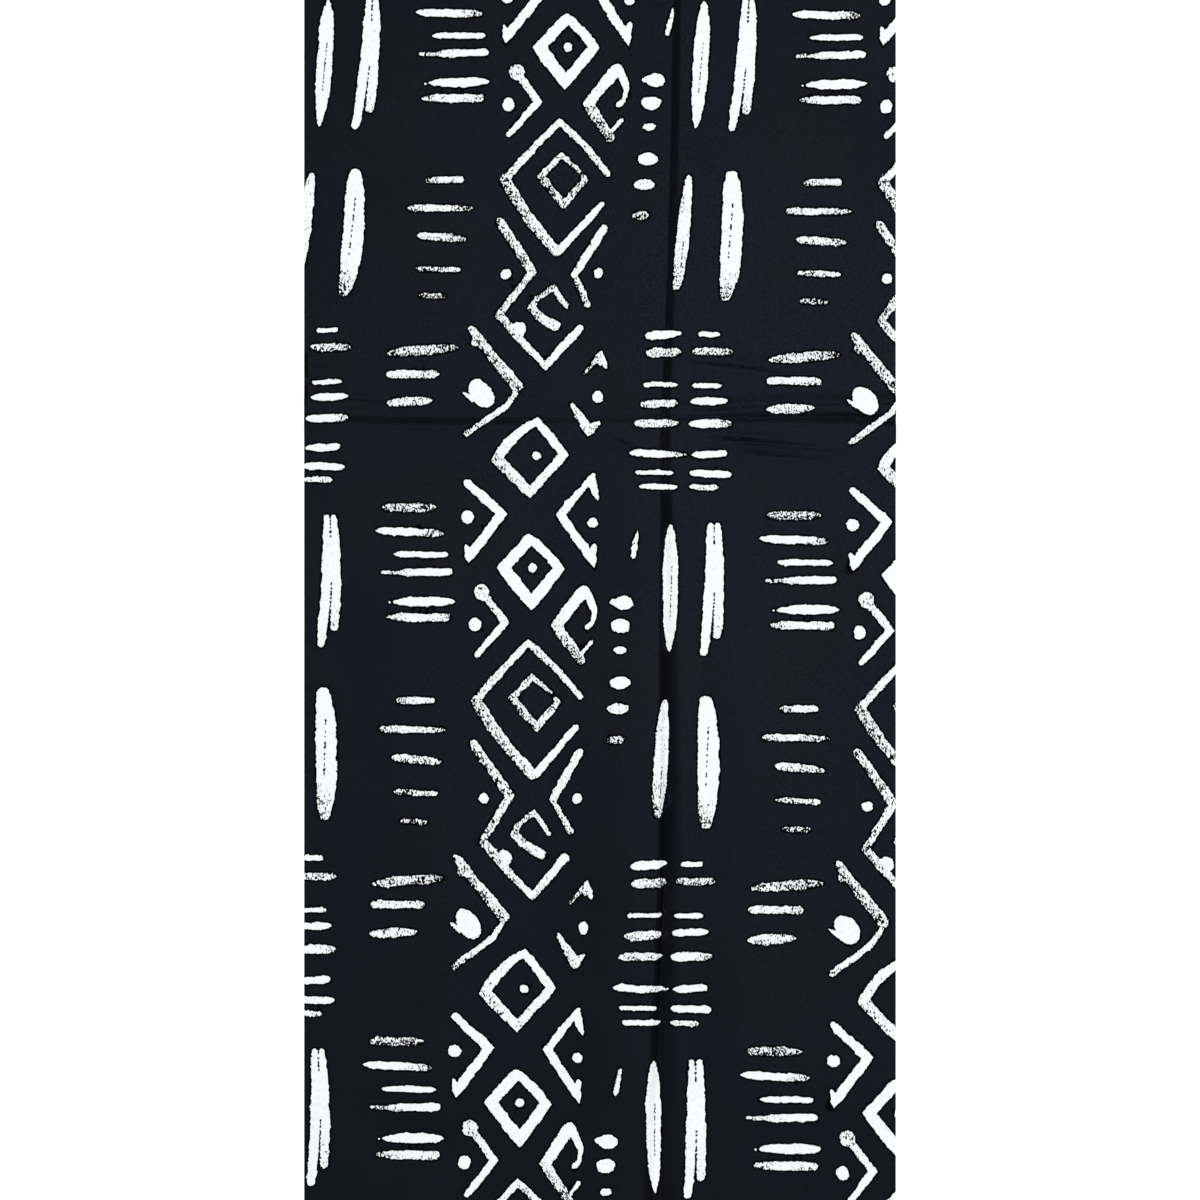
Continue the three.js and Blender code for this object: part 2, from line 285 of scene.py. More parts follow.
# How the repeats lie on the cloth. Shift is to the right, drop is downward, step is from one repeat
# to the next on its right, and fall is how far that one hangs lower. Left is a further drop of the
# print near the left edge, and aside is a further shift of its left part beside the crosswise crease.
REPEATS = (-1, 0, 1)
REPEAT_ACROSS = 264.5
REPEAT_DOWN = 364.0
REPEAT_FALL = 5.5
ROW_LEAN = -9.7
CHART_X = -46.6
CHART_Y = 22.1
Lay = namedtuple("Lay", "key shift drop step fall left aside")
PRINT_LAY = [Lay(*row) for row in (
    (-414, 18, 4.6, 260.8, 1.2, 0, 0),
    (-364, 14.8, 4.8, 260.8, 1.4, 0, 0),
    (-273, 9.7, 3.9, 261.5, 1.7, 0, 0),
    (-207, 5.5, 2.4, 263, 3, 0, 0),
    (-166, 0.5, 0.6, 264, 4.5, 1.4, 0),
    (-128, 0.2, 0.8, 264.5, 5, 2.6, 2),
    (-110, 0.1, 0.8, 265.2, 5.2, 1.9, 3.4),
    (-90, 0, 0.7, 266, 5.5, 1, -0.6),
    (-40, 0, 0, 266.2, 5.5, 0, 0),
    (185, 0, 0.4, 265.2, 5.5, 0, 0),
    (210, 0.3, 2, 264.5, 3.6, 0.4, 0),
    (240, 0.8, 2.4, 264, 4, 0.6, 0),
    (275, 1.2, 4, 263.8, 5.6, 0.8, 0),
    (335, 0.6, 4.6, 264.6, 7, 0.4, 0),
    (375, 1.1, 5.4, 263.9, 7.4, 0, 0),
    (421, 2.6, 8.6, 265.5, 7.6, 0, 0),
)]

# Left and aside start this far left of the cloth's middle line, and are full after their reach.
LEFT_EDGE_START = 130
LEFT_EDGE_REACH = 60
ASIDE_START = 95
ASIDE_REACH = 45

# The lengthwise crease takes up cloth: it draws the print on its right to the left, by this much. Early
# is the share that is already taken up on its left. The distances are from its valley.
Draw = namedtuple("Draw", "key draw early")
CREASE_DRAW = [Draw(*row) for row in (
    (-416, 6, 0.45),
    (-385, 5.4, 0.45),
    (-330, 4.8, 0.5),
    (-230, 4.2, 0.45),
    (-170, 3, 0.1),
    (-110, 2.1, 0),
    (-30, 2, 0),
    (40, 1.8, 0),
    (90, 0.2, 0),
    (180, 0.3, 0),
    (250, 1.5, 0),
    (416, 1.5, 0),
)]
EARLY_START = -75
EARLY_FULL = -30
DRAW_START = 2
DRAW_FULL = 16
DRAW_REACH = 200

# Steps along a brush edge, which crowd toward its ends, and along the spine of a mark
EDGE_STEP = 1.6
END_CROWDING = 0.6
SPINE_STEP = 0.8
LEAST_EDGE_STEPS = 6
LEAST_SPINE_STEPS = 4
LEAST_OVAL_STEPS = 12
OVAL_SPINE_POINTS = 9
LEAST_FOCUS = 1.0

# Ends of strokes: a blunt end passes its place by a part of its width and has a short tip. A corner's
# outer point is cut back a little, and its inner point stays within a reach.
BLUNT_REACH = 0.45
BLUNT_TIP = 0.3
CORNER_REACH = 0.82
INNER_REACH = 1.6
CORNER_PARTS = (0.3, 0.6, 0.9)

# Unevenness of a brush edge: heights in millimetres, less where the half width is under the calm one,
# ranges of the lengths of its waves to a radian, and the lobes of a dot as parts of its size
EDGE_SPREAD = 0.1
EDGE_WAVE = 0.42
EDGE_RIPPLE = 0.2
EDGE_JITTER = 0.2
CALM_HALF = 1.0
RIPPLE_LENGTHS = (1.1, 1.8)
WAVE_LENGTHS = (2.6, 4.0)
LONG_WAVE_LENGTHS = (5.0, 8.0)
DOT_LOBES = (0.045, 0.03)

# Dryness of a stroke's edges beside its middle, and how much more it is on the side that faces the
# dry side, across and down
DASH_ROUGHNESS = 1.35
TALL_ROUGHNESS = 1.3
DRY_LEAN = 0.6
DRY_SIDE = (-0.9, 0.44)

# Bare spots of a slit: ranges of place and length as parts of a spot's share of it, range of width as
# part of the slit's, and turn in degrees. A ring of points in the paint keeps its room round each spot.
# Paint is as deep as the cover at a spot's edge, at most, and gets shallower by the slope inside it.
SPOT_PLACE = (0.2, 0.8)
SPOT_TALL = (0.25, 0.6)
SPOT_WIDE = (0.5, 1.0)
SPOT_TURN = 25
SPOT_RING = 8
SLIT_ROOM = 1.2
SLIT_COVER = 0.25
SLIT_SLOPE = 3.0

# Points of the mesh: a loose grid, whose start and stagger are parts of its step, rows along folds, the
# border and a ring in the ground round each mark. Loose points keep clear of valleys and all edges.
OPEN_STEP = 9.0
OPEN_ROW_STEP = 0.87 * OPEN_STEP
OPEN_START = 0.35
OPEN_STAGGER = 0.5
OPEN_MARGIN = 2.0
OPEN_JITTER = 0.9
CREASE_STEP = 3.0
SLOPE_PLACES = (0.03, 0.35, 0.67, 1.0)
FALL_PLACES = (0.25, 0.5, 0.75, 1.0)
BORDER_STEP = 4.0
BORDER_ROOM = 1.0
GROUND_RING = 1.7
GROUND_REACH = 8.0
CLEAR_OF_EDGE = 1.2
VALLEY_ROOM = 1.6
MERGE_DISTANCE = 1e-4
NORMAL_REACH = 0.05

SEED = 20
random = np.random.default_rng(SEED)

# A mark has its edge with the dryness along it, points inside it, which a stroke joins to a line, and
# its spine with the half width and the dryness there.
Mark = namedtuple("Mark", "edge edge_dry centre line spine half dry")


# Folds

def table_value(table, column, place):
    """A column of a table as one smooth curve over its keys."""
    keys = np.array([row.key for row in table], float)
    values = np.array([getattr(row, column) for row in table], float)
    before = np.maximum(np.arange(len(keys)) - 1, 0)
    after = np.minimum(np.arange(len(keys)) + 1, len(keys) - 1)
    slopes = (values[after] - values[before]) / (keys[after] - keys[before])
    row = np.clip(np.searchsorted(keys, place) - 1, 0, len(keys) - 2)
    span = keys[row + 1] - keys[row]
    t = np.clip((place - keys[row]) / span, 0, 1)
    eased = t * t * (3 - 2 * t)
    leave = t * (1 - t) ** 2 * span * slopes[row]
    arrive = t * t * (t - 1) * span * slopes[row + 1]
    return values[row] + eased * (values[row + 1] - values[row]) + leave + arrive


def ridge(away, rise, shoulder, foot):
    """Height at a distance from a valley: up to the shoulder, then back to the open cloth."""
    down = np.clip((away - shoulder) / (foot - shoulder), 0, 1)
    up_slope = np.sin(np.pi / 2 * np.clip(away / shoulder, 0, 1))
    return np.maximum(rise, 0) * np.where(away < shoulder, up_slope, (1 + np.cos(np.pi * down)) / 2)


def crease_height(crease, along, across):
    side = across - table_value(crease, "place", along)
    shoulder, foot = [np.where(side > 0, table_value(crease, "after" + part, along),
                               table_value(crease, "before" + part, along)) for part in ("", "_foot")]
    return ridge(np.abs(side), table_value(crease, "rise", along), shoulder, foot)


def wrinkle_height(wrinkle, x, y):
    away = np.abs(y - table_value(wrinkle, "place", x))
    height = ridge(away, table_value(wrinkle, "rise", x), WRINKLE_SHOULDER, WRINKLE_FOOT)
    return height * ((x >= wrinkle[0].key) & (x <= wrinkle[-1].key))


def swell_height(swell, x, y):
    turn = math.radians(swell.turn)
    dx = x - swell.x
    dy = y - swell.y
    across = (dx * math.cos(turn) + dy * math.sin(turn)) / swell.across
    along = (dy * math.cos(turn) - dx * math.sin(turn)) / swell.along
    return swell.rise / 2 * (1 + np.cos(np.pi * np.minimum(np.hypot(across, along), 1)))


def cloth_height(x, y):
    """Height of the cloth's underside above the surface that it lies on."""
    height = crease_height(LENGTHWISE_CREASE, y, x) + crease_height(CROSSWISE_CREASE, x, y)
    for wrinkle in WRINKLES:
        height += wrinkle_height(wrinkle, x, y)
    for swell in SWELLS:
        height += swell_height(swell, x, y)
    return height


def cloth_normal(x, y):
    reach = NORMAL_REACH
    east = (cloth_height(x + reach, y) - cloth_height(x - reach, y)) / (2 * reach)
    north = (cloth_height(x, y + reach) - cloth_height(x, y - reach)) / (2 * reach)
    normal = np.stack([-east, -north, np.ones_like(east)], axis=1)
    return normal / np.linalg.norm(normal, axis=1)[:, None]


# Brush marks

def tip(place):
    """Share of the full width at a place along a tip, from its point at 0 to full width at 1."""
    return np.sqrt(1 - (1 - np.clip(place, 0, 1)) ** 2)


def edge_offsets(places):
    """Uneven brush edge: two slow waves, a quick one and a little jitter along it, in millimetres."""
    turns = random.uniform(0, 2 * np.pi, 3)
    quick = np.sin(places / random.uniform(*RIPPLE_LENGTHS) + turns[2])
    slow = np.sin(places / random.uniform(*WAVE_LENGTHS) + turns[0])
    slower = np.sin(places / random.uniform(*LONG_WAVE_LENGTHS) + turns[1])
    waves = EDGE_WAVE * (slow + slower) / 2 + EDGE_RIPPLE * quick
    return EDGE_SPREAD + waves + random.normal(0, EDGE_JITTER, len(places))


def unit(way):
    return way / np.linalg.norm(way)


def leftward(way):
    return np.array([-way[1], way[0]])


def corner(place, way, other, half):
    """Left and right corner of a stroke's end, cut along the far edge of the stroke that it meets.

    The first way leads out of the stroke and the other one leads on. The outer corner comes third.
    """
    rise = math.tan(math.acos(np.clip(way @ other, -1, 1)) / 2)
    outward = -leftward(way) * np.sign(leftward(way) @ other)
    outer = place + CORNER_REACH * half * (way * rise + outward)
    inner = place + half * (way * min(1 / rise, INNER_REACH) - outward)
    left_first = outward @ leftward(way) > 0
    return (outer, inner, outer) if left_first else (inner, outer, outer)


def joined(row, more, number):
    """A row with more values put on outward, before its start for end 0 or after its end for end 1."""
    return np.concatenate([row, more] if number else [more[::-1], row])


def stroke(start, end, widths, tips, dry, bow=0, belly=0, full=1, rough=1, others=(None, None)):
    """A brush stroke between two places of the chart, with a width and a tip at each end.

    Rough is how much drier its edges are than its middle. Others are the ways of the strokes that it
    meets at its ends, for sharp corners.
    """
    ends = [np.array(start, float), np.array(end, float)]
    along = unit(ends[1] - ends[0])
    aside = leftward(along)
    tips = list(tips)
    for number, way in enumerate((-along, along)):
        if tips[number] == 0 and others[number] is None:
            tips[number] = widths[number] * BLUNT_TIP
            ends[number] = ends[number] + way * widths[number] * BLUNT_REACH
    length = np.linalg.norm(ends[1] - ends[0])

    def at(part):
        swing = 4 * bow * part * (1 - part)
        centre = ends[0] + part[:, None] * length * along + swing[:, None] * aside
        wide = widths[0] + (widths[1] - widths[0]) * part
        half = (wide + belly * (1 - np.abs(2 * part - 1) ** full)) / 2
        for tip_length, room in zip(tips, (part * length, (1 - part) * length)):
            if tip_length > 0:
                half = half * tip(room / tip_length)
        return centre, half, np.interp(part, np.linspace(0, 1, len(dry)), dry)

    even = np.linspace(0, 1, max(LEAST_EDGE_STEPS, math.ceil(length / EDGE_STEP)) + 1)
    part = even - END_CROWDING * np.sin(2 * np.pi * even) / (2 * np.pi)
    centre, half, edge_dry = at(part)
    calm = np.minimum(half, CALM_HALF)
    left = centre + aside * (half + calm * edge_offsets(part * length))[:, None]
    right = centre - aside * (half + calm * edge_offsets(part * length))[:, None]
    lean = DRY_LEAN * (aside @ np.array(DRY_SIDE))
    left_dry = edge_dry * rough * (1 + lean)
    right_dry = (edge_dry * rough * (1 - lean))[1:-1]
    spine_steps = max(LEAST_SPINE_STEPS, math.ceil(length / SPINE_STEP))
    spine_part = np.linspace(0, 1, spine_steps + 1)
    spine, spine_half, spine_dry = at(spine_part)
    for other, room in zip(others, (spine_part * length, (1 - spine_part) * length)):
        if other is None:
            spine_half = np.minimum(spine_half, room)

    # Each end closes in its tip or in its corner, which the spine then follows
    line = centre[1:-1:2]
    right = right[1:-1]
    for number, other in enumerate(others):
        if other is None:
            continue
        place = ends[number]
        way = unit(along * (2 * number - 1) * length - 4 * bow * aside)
        near, far, outer = corner(place, way, other, widths[number] / 2)
        tip_parts = np.array(CORNER_PARTS)
        end_dry = dry[-number]
        spine = np.concatenate([spine, place + tip_parts[:, None] * (outer - place)])
        spine_half = np.concatenate([spine_half, widths[number] / 2 * (1 - tip_parts)])
        spine_dry = np.concatenate([spine_dry, np.full(len(tip_parts), end_dry)])
        bend = [place, place + tip_parts[1] * (outer - place)]
        left = joined(left, [near if number else far], number)
        right = joined(right, [far if number else near], number)
        left_dry = joined(left_dry, [end_dry], number)
        right_dry = joined(right_dry, [end_dry], number)
        line = joined(line, bend, number)
    edge = np.concatenate([left, right[::-1]])
    sides_dry = np.concatenate([left_dry, right_dry[::-1]])
    return Mark(edge, sides_dry, line, True, spine, spine_half, spine_dry)


def limb_ends(limb):
    """Each end of a limb: its place, the way in which the limb leaves it, and its tip."""
    start = np.array([limb.across, limb.down])
    end = np.array([limb.to_across, limb.to_down])
    swing = 4 * limb.bow * leftward(unit(end - start))
    return (start, unit(end - start + swing), limb.start), (end, unit(start - end + swing), limb.end)


def met_way(limb, number):
    """The way of the limb that makes a corner with this limb's end, if there is one."""
    place, _, own_tip = limb_ends(limb)[number]
    for other in LOZENGE_CHAIN:
        for other_place, other_way, other_tip in limb_ends(other):
            if other is not limb and own_tip == other_tip == 0 and (place == other_place).all():
                return other_way
    return None


def charted(row):
    """Start, end, widths and tips of a limb or a tall stroke."""
    return ((row.across, row.down), (row.to_across, row.to_down), (row.wide, row.to_wide),
            (row.start, row.end))


def limb_mark(limb):
    others = (met_way(limb, 0), met_way(limb, 1))
    return stroke(*charted(limb), (limb.dry, limb.to_dry), limb.bow, others=others)


def tall_mark(tall):
    dry = (tall.dry, tall.dry, tall.dry, tall.to_dry)
    return stroke(*charted(tall), dry, tall.bow, tall.belly, tall.full, TALL_ROUGHNESS)


def dash_mark(dash):
    lean = math.radians(dash.lean)
    reach = np.array([math.cos(lean), -math.sin(lean)]) * dash.length / 2
    middle = np.array([dash.across, dash.down])
    tips = (dash.left * dash.length, dash.right * dash.length)
    return stroke(middle - reach, middle + reach, (dash.wide, dash.wide), tips,
                  (dash.dry_left, dash.dry, dash.dry_right), rough=DASH_ROUGHNESS)


def dot_mark(dot):
    """An uneven oval. Its spine is the middle line of an ellipse, with the room to the edge."""
    long_side, short_side = max(dot.wide, dot.tall) / 2, min(dot.wide, dot.tall) / 2
    turn = math.radians(dot.turn + (0 if dot.wide >= dot.tall else 90))
    axes = np.array([[math.cos(turn), math.sin(turn)], [-math.sin(turn), math.cos(turn)]])
    middle = np.array([dot.across, dot.down])
    count = max(LEAST_OVAL_STEPS, math.ceil(np.pi * (long_side + short_side) / EDGE_STEP))
    angle = np.linspace(0, 2 * np.pi, count, endpoint=False)
    turns = random.uniform(0, 2 * np.pi, 2)
    swing = 1 + DOT_LOBES[0] * np.sin(2 * angle + turns[0])
    swing += DOT_LOBES[1] * np.sin(3 * angle + turns[1])
    calm = min(short_side / 2, CALM_HALF)
    swing += calm * (EDGE_SPREAD + random.normal(0, EDGE_JITTER, count)) / short_side
    oval = np.stack([long_side * np.cos(angle), short_side * np.sin(angle)], axis=1)
    edge = middle + (oval * swing[:, None]) @ axes
    focus = math.sqrt(max(long_side ** 2 - short_side ** 2, 0))
    places = np.linspace(-1, 1, OVAL_SPINE_POINTS) * focus ** 2 / long_side
    half = short_side * np.sqrt(1 - (places / max(focus, LEAST_FOCUS)) ** 2)
    spine = middle + np.outer(places, axes[0])
    spine_dry = np.full(len(spine), dot.dry)
    return Mark(edge, np.full(count, dot.dry), spine[::2], False, spine, half, spine_dry)


def slit_marks(slit):
    """A slit as a row of small bare spots, with points in the paint round each."""
    start = np.array([slit.across, slit.down])
    way = np.array([slit.to_across, slit.to_down]) - start
    space = np.linalg.norm(way) / slit.spots
    angle = np.linspace(0, 2 * np.pi, SPOT_RING, endpoint=False)
    for number in range(slit.spots):
        middle = start + way * (number + random.uniform(*SPOT_PLACE)) / slit.spots
        wide = slit.wide * random.uniform(*SPOT_WIDE)
        tall = space * random.uniform(*SPOT_TALL)
        spot = dot_mark(Dot(*middle, wide, tall, random.uniform(-SPOT_TURN, SPOT_TURN), 0))
        reach = np.array([wide / 2 + SLIT_ROOM, tall / 2 + SLIT_ROOM])
        yield spot._replace(centre=middle + np.stack([np.cos(angle), np.sin(angle)], axis=1) * reach)


# Laying the print on the cloth

def lay(points, row, column):
    """Places of the chart on the cloth, for one repeat."""
    across = points[:, 0] + column * REPEAT_ACROSS
    down = points[:, 1] + row * REPEAT_DOWN
    part = across / REPEAT_ACROSS
    fall = column * REPEAT_FALL + part * (table_value(PRINT_LAY, "fall", down) - REPEAT_FALL)
    x = CHART_X + row * ROW_LEAN
    x = x + table_value(PRINT_LAY, "shift", down) + part * table_value(PRINT_LAY, "step", down)
    y = CHART_Y - (down + table_value(PRINT_LAY, "drop", down) + fall)
    y -= table_value(PRINT_LAY, "left", down) * np.clip((-x - LEFT_EDGE_START) / LEFT_EDGE_REACH, 0, 1)
    x = x + table_value(PRINT_LAY, "aside", down) * np.clip((-x - ASIDE_START) / ASIDE_REACH, 0, 1)
    beside = x - table_value(LENGTHWISE_CREASE, "place", y)
    early = table_value(CREASE_DRAW, "early", y)
    taken = early * np.interp(beside, (EARLY_START, EARLY_FULL), (0, 1))
    taken += (1 - early) * np.interp(beside, (DRAW_START, DRAW_FULL, DRAW_REACH), (0, 1, 0))
    x -= table_value(CREASE_DRAW, "draw", y) * taken
    return np.stack([x, y], axis=1)


def laid_marks(make_marks):
    """The marks of every repeat that reach onto the cloth."""
    for row in REPEATS:
        for column in REPEATS:
            for mark in make_marks():
                edge = lay(mark.edge, row, column)
                if (np.abs(edge) < (HALF_WIDTH, HALF_LENGTH)).all(axis=1).any():
                    yield mark._replace(edge=edge, centre=lay(mark.centre, row, column),
                                        spine=lay(mark.spine, row, column))


def painted_marks():
    yield from (limb_mark(limb) for limb in LOZENGE_CHAIN)
    yield from (tall_mark(tall) for tall in TALL_STROKES)
    yield from (dash_mark(dash) for dash in DASHES)
    yield from (dot_mark(dot) for dot in DOTS)


def bare_marks():
    for slit in SLITS:
        yield from slit_marks(slit)


def depth_in(points, owners, marks):
    """How deep each point lies inside the marks, beside its own one, and how dry it is there."""
    depth = np.full(len(points), -GROUND_REACH)
    dry = np.zeros(len(points))
    for number, mark in enumerate(marks):
        reach = mark.half.max() + GROUND_REACH
        inside = (points > mark.spine.min(axis=0) - reach) & (points < mark.spine.max(axis=0) + reach)
        near = np.nonzero(inside.all(axis=1) & (owners != number))[0]
        if len(near) == 0:
            continue
        room = mark.half - np.linalg.norm(points[near, None] - mark.spine, axis=2)
        best = room.argmax(axis=1)
        room = room[np.arange(len(near)), best]
        deeper = room > depth[near]
        depth[near[deeper]] = room[deeper]
        dry[near[deeper]] = mark.dry[best[deeper]]
    return depth, dry


# Points of the mesh

def open_points():
    """A loose even grid over the whole cloth."""
    rows = []
    for number, y in enumerate(np.arange(-HALF_LENGTH + OPEN_STEP / 2, HALF_LENGTH, OPEN_ROW_STEP)):
        inset = OPEN_STEP * (OPEN_START + OPEN_STAGGER * (number % 2))
        x = np.arange(-HALF_WIDTH + inset, HALF_WIDTH - OPEN_MARGIN, OPEN_STEP)
        rows.append(np.stack([x, np.full(len(x), y)], axis=1))
    points = np.concatenate(rows)
    return points + random.uniform(-OPEN_JITTER, OPEN_JITTER, points.shape)


def ground_ring(mark):
    """Points in the ground all round a mark."""
    ahead = np.roll(mark.edge, -1, axis=0) - np.roll(mark.edge, 1, axis=0)
    outward = np.stack([ahead[:, 1], -ahead[:, 0]], axis=1)
    outward /= np.maximum(np.linalg.norm(outward, axis=1), MERGE_DISTANCE)[:, None]
    outward *= np.sign(((mark.edge - mark.edge.mean(axis=0)) * outward).sum())
    return mark.edge[::2] + outward[::2] * GROUND_RING


def valley_room(points):
    """Distance from the nearer one of the two main valleys."""
    x, y = points.T
    beside = np.abs(x - table_value(LENGTHWISE_CREASE, "place", y))
    return np.minimum(beside, np.abs(y - table_value(CROSSWISE_CREASE, "place", x)))


def places_along(table):
    count = math.ceil((table[-1].key - table[0].key) / CREASE_STEP)
    return np.linspace(table[0].key, table[-1].key, count + 1)[1:-1]


def valley_rows(line, sides):
    """Places across a valley: on each side of its line the slope, the shoulder and the fall."""
    rows = []
    for sign, shoulder, foot in sides:
        rows += [line + sign * shoulder * part for part in SLOPE_PLACES]
        rows += [line + sign * (shoulder + (foot - shoulder) * part) for part in FALL_PLACES]
    return rows


def crease_points(crease, lengthwise):
    along = places_along(crease)
    sides = [(sign, table_value(crease, side, along), table_value(crease, side + "_foot", along))
             for sign, side in ((-1, "before"), (1, "after"))]
    rows = valley_rows(table_value(crease, "place", along), sides)
    pairs = [(row, along) if lengthwise else (along, row) for row in rows]
    return np.concatenate([np.stack(pair, axis=1) for pair in pairs])


def wrinkle_points(wrinkle):
    along = places_along(wrinkle)
    sides = ((-1, WRINKLE_SHOULDER, WRINKLE_FOOT), (1, WRINKLE_SHOULDER, WRINKLE_FOOT))
    rows = valley_rows(table_value(wrinkle, "place", along), sides)
    return np.concatenate([np.stack([along, row], axis=1) for row in rows])


def border_points():
    """Points round the cloth's four edges, in order."""
    across = np.linspace(-HALF_WIDTH, HALF_WIDTH, round(CLOTH_WIDTH / BORDER_STEP) + 1)[:-1]
    along = np.linspace(-HALF_LENGTH, HALF_LENGTH, round(CLOTH_LENGTH / BORDER_STEP) + 1)[:-1]
    sides = [
        np.stack([across, np.full(len(across), -HALF_LENGTH)], axis=1),
        np.stack([np.full(len(along), HALF_WIDTH), along], axis=1),
        np.stack([-across, np.full(len(across), HALF_LENGTH)], axis=1),
        np.stack([np.full(len(along), -HALF_WIDTH), -along], axis=1),
    ]
    return np.concatenate(sides)


def loop_edges(first, count):
    """Edges that join points in a ring, counted from the first one."""
    return [(first + number, first + (number + 1) % count) for number in range(count)]


def cloth_triangles():
    """The cloth seen from above: points, triangles, depth in the paint and dryness."""
    painted = list(laid_marks(painted_marks))
    bare = list(laid_marks(bare_marks))
    creases = [crease_points(LENGTHWISE_CREASE, True), crease_points(CROSSWISE_CREASE, False)]
    creases += [wrinkle_points(wrinkle) for wrinkle in WRINKLES]

    loose = np.concatenate([open_points(), *(ground_ring(mark) for mark in painted)])
    loose = loose[valley_room(loose) > VALLEY_ROOM]
    free = np.concatenate([loose, *creases])
    room = (HALF_WIDTH - BORDER_ROOM, HALF_LENGTH - BORDER_ROOM)
    free = free[(np.abs(free) < room).all(axis=1)]
    nobody = np.full(len(free), -1)
    free_depth = depth_in(free, nobody, painted)[0]
    free_depth = np.minimum(free_depth, -depth_in(free, nobody, bare)[0])
    free = free[np.abs(free_depth) > CLEAR_OF_EDGE]

    border = border_points()
    points = [border, free]
    owners = [np.full(len(border) + len(free), -1)]
    own_dry = [np.zeros(len(border) + len(free))]
    edges = loop_edges(0, len(border))
    first = len(border) + len(free)
    for number, mark in enumerate(painted + bare):
        points += [mark.edge, mark.centre]
        owners += [np.full(len(mark.edge), number), np.full(len(mark.centre), -1)]
        own_dry += [mark.edge_dry, np.zeros(len(mark.centre))]
        edges += loop_edges(first, len(mark.edge))
        if mark.line:
            edges += loop_edges(first + len(mark.edge), len(mark.centre))[:-1]
        first += len(mark.edge) + len(mark.centre)
    points = np.concatenate(points)
    owners = np.concatenate(owners)
    own_dry = np.concatenate(own_dry)

    laid = delaunay_2d_cdt([Vector(point) for point in points.tolist()], edges, [], 0, MERGE_DISTANCE)
    flat = np.array([tuple(point) for point in laid[0]])
    triangles = np.array(laid[2])
    source = np.array([came_from[0] if came_from else -1 for came_from in laid[3]])
    middle = flat[triangles].mean(axis=1)
    triangles = triangles[(np.abs(middle) < (HALF_WIDTH, HALF_LENGTH)).all(axis=1)]
    used, triangles = np.unique(triangles, return_inverse=True)
    triangles = triangles.reshape(-1, 3)
    flat = flat[used]
    source = source[used]

    owner = np.where(source >= 0, owners[source], -1)
    depth, dry = depth_in(flat, owner, painted)
    on_edge = owner >= 0
    crossing = source < 0
    dry = np.where(on_edge & (depth < 0), own_dry[source], dry)
    depth = np.where(on_edge, np.maximum(depth, 0), depth)
    depth = np.where(crossing, np.maximum(depth - EDGE_SPREAD, 0), depth)
    slit_owner = np.where(owner >= len(painted), owner - len(painted), -1)
    slit_depth = depth_in(flat, slit_owner, bare)[0]
    slit_depth = np.where(slit_owner >= 0, np.maximum(slit_depth, 0), slit_depth)
    return flat, triangles, np.minimum(depth, SLIT_COVER - SLIT_SLOPE * slit_depth), dry


def rim_edges(triangles):
    """Edges that belong to one triangle only, in that triangle's direction."""
    edges = np.concatenate([triangles[:, [0, 1]], triangles[:, [1, 2]], triangles[:, [2, 0]]])
    whole = len(edges)
    forward = edges[:, 0] * whole + edges[:, 1]
    backward = edges[:, 1] * whole + edges[:, 0]
    return edges[~np.isin(forward, backward)]


# The cloth's mesh

UV_MARGIN = 0.005
UV_SIDE = 0.48
UV_GAP = 0.003
UV_RIM = 0.005
UV_RIM_GAP = 0.001


def face_uv(x, y, underside):
    """The upper side in the left half of the map and the underside in the right half."""
    start = 1 - UV_MARGIN - UV_SIDE if underside else UV_MARGIN
    u = start + (x / CLOTH_WIDTH + 0.5) * UV_SIDE
    v = UV_MARGIN + (y / CLOTH_LENGTH + 0.5) * (1 - 2 * UV_MARGIN)
    return np.stack([u, v], axis=-1)


def rim_uv(start, end, outward):
    """Each of the four edges as a narrow strip of its own between the two halves."""
    along_y = np.abs(outward[:, 0]) > 0.5
    strip = np.where(along_y, 0, 2) + (outward.sum(axis=1) > 0)
    left = UV_MARGIN + UV_SIDE + UV_GAP + strip * (UV_RIM + UV_RIM_GAP)
    rows = []
    for point, side in ((end, UV_RIM), (start, UV_RIM), (start, 0), (end, 0)):
        place = np.where(along_y, point[:, 1] / CLOTH_LENGTH, point[:, 0] / CLOTH_WIDTH)
        rows.append(np.stack([left + side, UV_MARGIN + (place + 0.5) * (1 - 2 * UV_MARGIN)], axis=-1))
    return np.stack(rows, axis=1)


